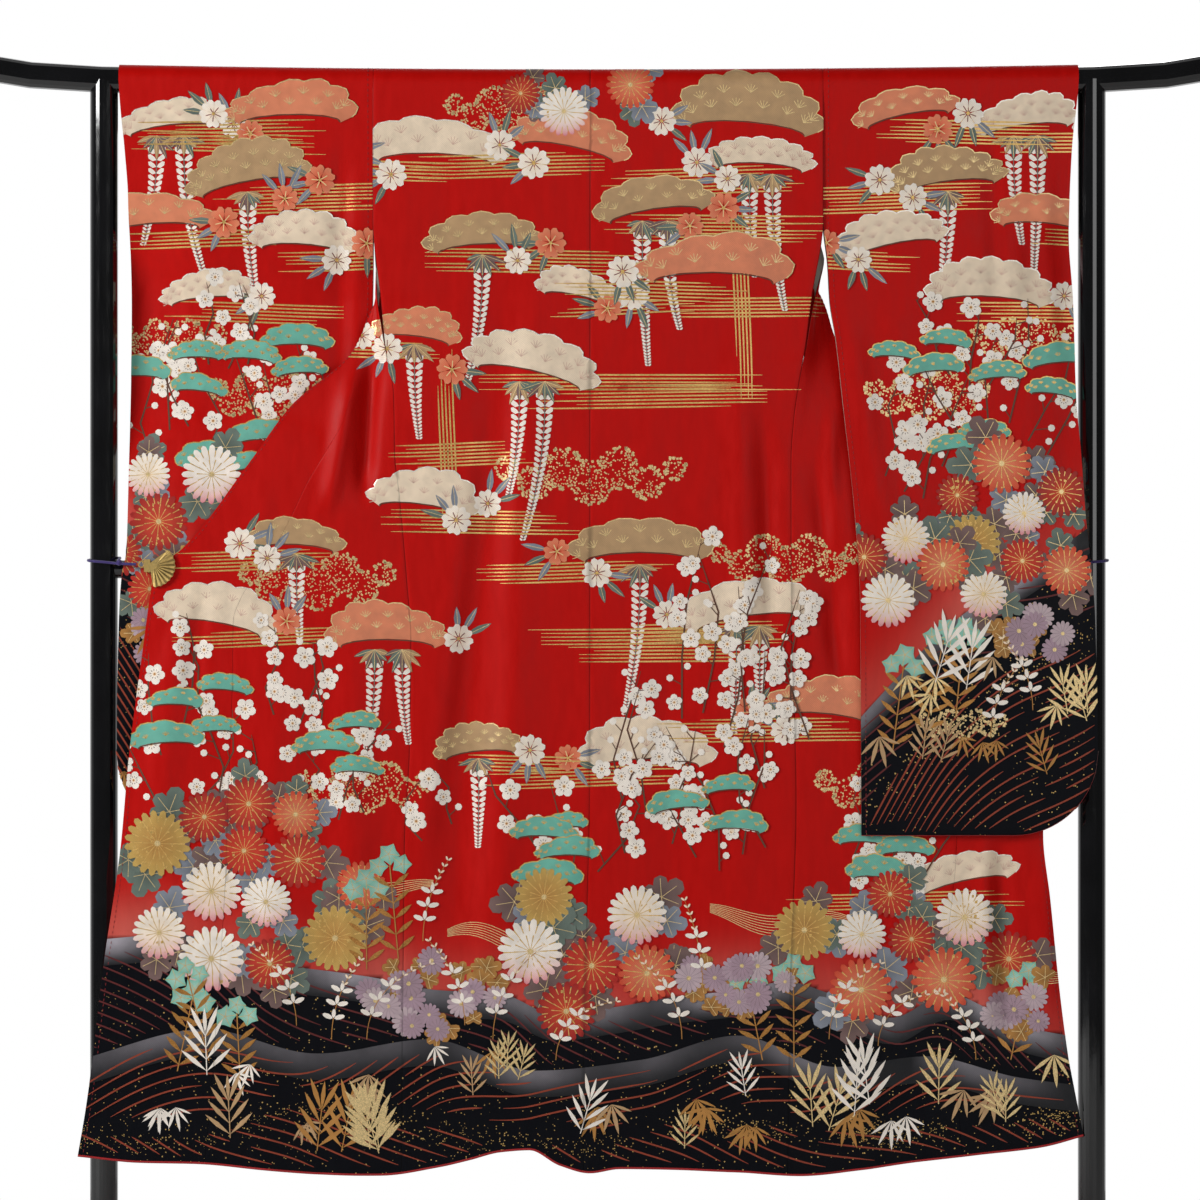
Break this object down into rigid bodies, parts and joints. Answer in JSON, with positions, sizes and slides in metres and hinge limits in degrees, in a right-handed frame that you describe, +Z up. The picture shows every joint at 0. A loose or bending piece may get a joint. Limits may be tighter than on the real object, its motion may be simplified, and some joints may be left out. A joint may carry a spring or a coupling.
{
  "type": "furisode kimono on a rack stand",
  "caption": "Long-sleeved silk kimono hung over the rail of a lacquered rack stand, back to the viewer, fronts clipped out to the posts.",
  "frame": {"origin": "on the floor at the middle of the stand", "axes": "+Z up, +X along the rail, the back of the kimono faces -Y"},
  "size_m": [1.855, 0.45, 1.7436],
  "materials": {
    "silk": "satin",
    "collar_silk": "satin",
    "lacquer": "gloss",
    "rubber": "matte",
    "brass": "satin",
    "cord": "satin"
  },
  "bodies": {
    "root": {"rail": "lacquer", "rail_end_left": "lacquer", "rail_end_right": "lacquer", "post_left": "lacquer", "post_right": "lacquer", "mid_bar": "lacquer", "foot_left": "lacquer", "foot_right": "lacquer", "glide_left_front": "rubber", "glide_left_rear": "rubber", "glide_right_front": "rubber", "glide_right_rear": "rubber", "back_left": "silk", "back_right": "silk", "front_left": "silk", "front_right": "silk", "okumi_left": "silk", "okumi_right": "silk", "sleeve_left_back": "silk", "sleeve_left_front": "silk", "sleeve_right_back": "silk", "sleeve_right_front": "silk", "collar": "collar_silk", "clip_left": "brass", "clip_right": "brass", "tie_left": "cord", "tie_right": "cord"}
  },
  "joints": []
}
